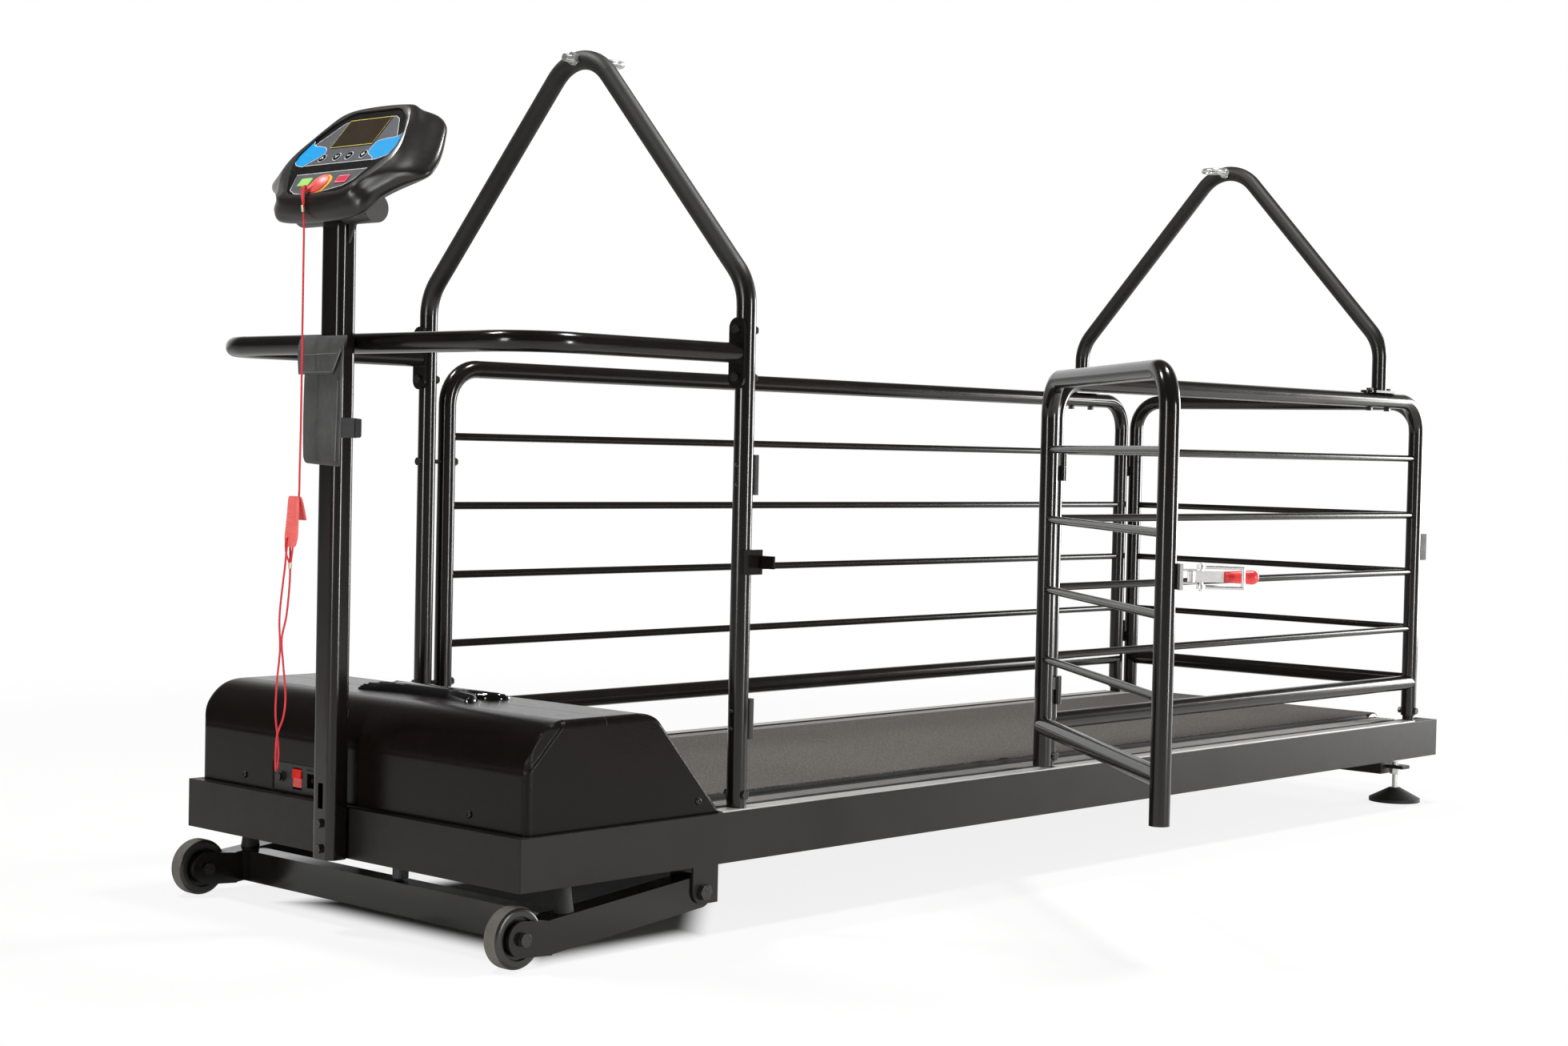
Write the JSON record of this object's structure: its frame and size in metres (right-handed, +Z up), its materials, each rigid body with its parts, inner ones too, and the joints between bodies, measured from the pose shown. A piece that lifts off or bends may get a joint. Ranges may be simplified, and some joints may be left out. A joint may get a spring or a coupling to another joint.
{
  "type": "dog treadmill",
  "caption": "Powered dog treadmill: belt deck on an incline frame with wheels, barred guard panels, hinged side and rear gates, leash arches, handrail and mast console with safety key.",
  "frame": {"origin": "on the floor under the middle of the frame's front face", "axes": "+X from the front to the rear along the belt, +Z up, +Y away from the side gate"},
  "size_m": [2.2327, 1.187, 1.1172],
  "materials": {
    "frame_paint": "satin",
    "tube_paint": "satin",
    "strip_aluminium": "satin",
    "deck_laminate": "matt",
    "belt_pvc": "matt",
    "bright_steel": "satin",
    "motor_paint": "satin",
    "controller_case": "satin",
    "hood_plastic": "fine grain",
    "bone_gloss": "gloss",
    "rocker_red": "gloss",
    "console_plastic": "fine grain",
    "overlay_grey": "satin",
    "display_glass": "gloss",
    "button_grey": "satin",
    "start_green": "satin",
    "stop_red": "satin",
    "key_red": "satin",
    "cord_red": "woven",
    "pouch_fabric": "woven",
    "rubber_black": "matt",
    "bolt_black": "black oxide",
    "wheel_grey": "matt"
  },
  "bodies": {
    "chassis": {"front_skirt": "frame_paint", "side_rail_near": "frame_paint", "side_rail_far": "frame_paint", "cross_members": "frame_paint", "mast": "frame_paint", "console_bar": "frame_paint", "handrail": "tube_paint", "front_arch": "tube_paint", "rear_arch": "tube_paint", "far_panel": "tube_paint", "near_panel": "tube_paint", "gate_hinges": "tube_paint", "leash_eyes": "tube_paint", "foot_strips": "strip_aluminium", "deck_board": "deck_laminate", "running_belt": "belt_pvc", "drive_belt": "belt_pvc", "roller_axles": "bright_steel", "foot_studs": "bright_steel", "latch_catch": "bright_steel", "motor": "motor_paint", "incline_motor": "motor_paint", "controller": "controller_case", "hood": "hood_plastic", "switch_plate": "hood_plastic", "power_inlet": "hood_plastic", "bone_plate": "bone_gloss", "console_shell": "console_plastic", "console_panel": "overlay_grey", "display_lens": "display_glass", "remote_pouch": "pouch_fabric", "stop_blocks": "rubber_black", "frame_bolts": "bolt_black"},
    "drive_roller": {"drive_roller": "bright_steel"},
    "tail_roller": {"tail_roller": "bright_steel"},
    "motor_pulley": {"motor_pulley": "bright_steel"},
    "incline_rod": {"incline_rod": "bright_steel"},
    "incline_frame": {"incline_frame": "frame_paint", "wheel_axles": "bolt_black", "bumpers": "rubber_black"},
    "wheel_near": {"wheel_near": "wheel_grey"},
    "wheel_far": {"wheel_far": "wheel_grey"},
    "side_gate": {"side_gate": "tube_paint", "latch_base": "bright_steel"},
    "latch_handle": {"latch_handle": "key_red"},
    "latch_u_bar": {"latch_u_bar": "bright_steel"},
    "rear_gate": {"rear_gate": "tube_paint"},
    "rocker_switch": {"rocker_switch": "rocker_red"},
    "reset_button": {"reset_button": "hood_plastic"},
    "incline_up_button": {"incline_up_button": "button_grey"},
    "incline_down_button": {"incline_down_button": "button_grey"},
    "speed_down_button": {"speed_down_button": "button_grey"},
    "speed_up_button": {"speed_up_button": "button_grey"},
    "start_button": {"start_button": "start_green"},
    "stop_button": {"stop_button": "stop_red"},
    "safety_key": {"safety_key": "key_red", "safety_cord": "cord_red", "cord_clip": "key_red"},
    "foot_pad_near": {"foot_pad_near": "rubber_black"},
    "foot_pad_far": {"foot_pad_far": "rubber_black"}
  },
  "joints": [
    {"name": "belt_drive", "type": "hinge", "parent": "chassis", "child": "drive_roller", "pos_m": [0.262, 0, 0.132], "axis": [0, 1, 0], "continuous": true},
    {"name": "tail_roller_spin", "type": "hinge", "parent": "chassis", "child": "tail_roller", "pos_m": [2.064, 0, 0.132], "axis": [0, 1, 0], "continuous": true},
    {"name": "motor_spin", "type": "hinge", "parent": "chassis", "child": "motor_pulley", "pos_m": [0.128, -0.268, 0.162], "axis": [0, 1, 0], "continuous": true},
    {"name": "incline", "type": "hinge", "parent": "chassis", "child": "incline_frame", "pos_m": [0.294, 0, 0.057], "axis": [0, -1, 0], "range_deg": [0, 10]},
    {"name": "incline_push", "type": "slide", "parent": "chassis", "child": "incline_rod", "axis": [0, 0, -1], "range_m": [0, 0.042]},
    {"name": "wheel_near_roll", "type": "hinge", "parent": "incline_frame", "child": "wheel_near", "pos_m": [0.005, -0.313, 0.036], "axis": [0, 1, 0], "continuous": true},
    {"name": "wheel_far_roll", "type": "hinge", "parent": "incline_frame", "child": "wheel_far", "pos_m": [0.005, 0.313, 0.036], "axis": [0, 1, 0], "continuous": true},
    {"name": "side_gate_swing", "type": "hinge", "parent": "chassis", "child": "side_gate", "pos_m": [0.995, -0.336, 0.42], "axis": [0, 0, 1], "range_deg": [-51.5, 90]},
    {"name": "latch_throw", "type": "hinge", "parent": "side_gate", "child": "latch_handle", "pos_m": [0.63801, -0.79443, 0.457], "axis": [0, 0, 1], "range_deg": [0, 90]},
    {"name": "latch_draw", "type": "hinge", "parent": "latch_handle", "child": "latch_u_bar", "pos_m": [0.64741, -0.8019, 0.457], "axis": [0, 0, 1], "range_deg": [-160, 0]},
    {"name": "rear_gate_swing", "type": "hinge", "parent": "chassis", "child": "rear_gate", "pos_m": [2.089, 0.319, 0.42], "axis": [0, 0, 1], "range_deg": [0, 110]},
    {"name": "rocker_tip", "type": "hinge", "parent": "chassis", "child": "rocker_switch", "pos_m": [0.02, 0.114, 0.171], "axis": [0, 1, 0], "range_deg": [0, 16]},
    {"name": "reset_press", "type": "slide", "parent": "chassis", "child": "reset_button", "axis": [1, 0, 0], "range_m": [0, 0.003], "stiffness_N_per_m": 300},
    {"name": "incline_up_press", "type": "slide", "parent": "chassis", "child": "incline_up_button", "axis": [0.7581, 0, -0.6521], "range_m": [0, 0.001], "stiffness_N_per_m": 300},
    {"name": "incline_down_press", "type": "slide", "parent": "chassis", "child": "incline_down_button", "axis": [0.7581, 0, -0.6521], "range_m": [0, 0.001], "stiffness_N_per_m": 300},
    {"name": "speed_down_press", "type": "slide", "parent": "chassis", "child": "speed_down_button", "axis": [0.7581, 0, -0.6521], "range_m": [0, 0.001], "stiffness_N_per_m": 300},
    {"name": "speed_up_press", "type": "slide", "parent": "chassis", "child": "speed_up_button", "axis": [0.7581, 0, -0.6521], "range_m": [0, 0.001], "stiffness_N_per_m": 300},
    {"name": "start_press", "type": "slide", "parent": "chassis", "child": "start_button", "axis": [0.7581, 0, -0.6521], "range_m": [0, 0.001], "stiffness_N_per_m": 300},
    {"name": "stop_press", "type": "slide", "parent": "chassis", "child": "stop_button", "axis": [0.7581, 0, -0.6521], "range_m": [0, 0.001], "stiffness_N_per_m": 300},
    {"name": "key_pull", "type": "slide", "parent": "chassis", "child": "safety_key", "axis": [-0.7581, 0, 0.6521], "range_m": [0, 0.03]},
    {"name": "foot_near_turn", "type": "hinge", "parent": "chassis", "child": "foot_pad_near", "pos_m": [2.103, -0.26, 0.01], "axis": [0, 0, 1], "continuous": true},
    {"name": "foot_far_turn", "type": "hinge", "parent": "chassis", "child": "foot_pad_far", "pos_m": [2.103, 0.26, 0.01], "axis": [0, 0, 1], "continuous": true}
  ],
  "couplings": [
    {"joint": "tail_roller_spin", "follows": "belt_drive", "ratio": 1},
    {"joint": "motor_spin", "follows": "belt_drive", "ratio": 1.8889},
    {"joint": "incline_push", "follows": "incline", "m_per_rad": 0.219},
    {"joint": "latch_draw", "follows": "latch_throw", "ratio": -1.7778}
  ]
}
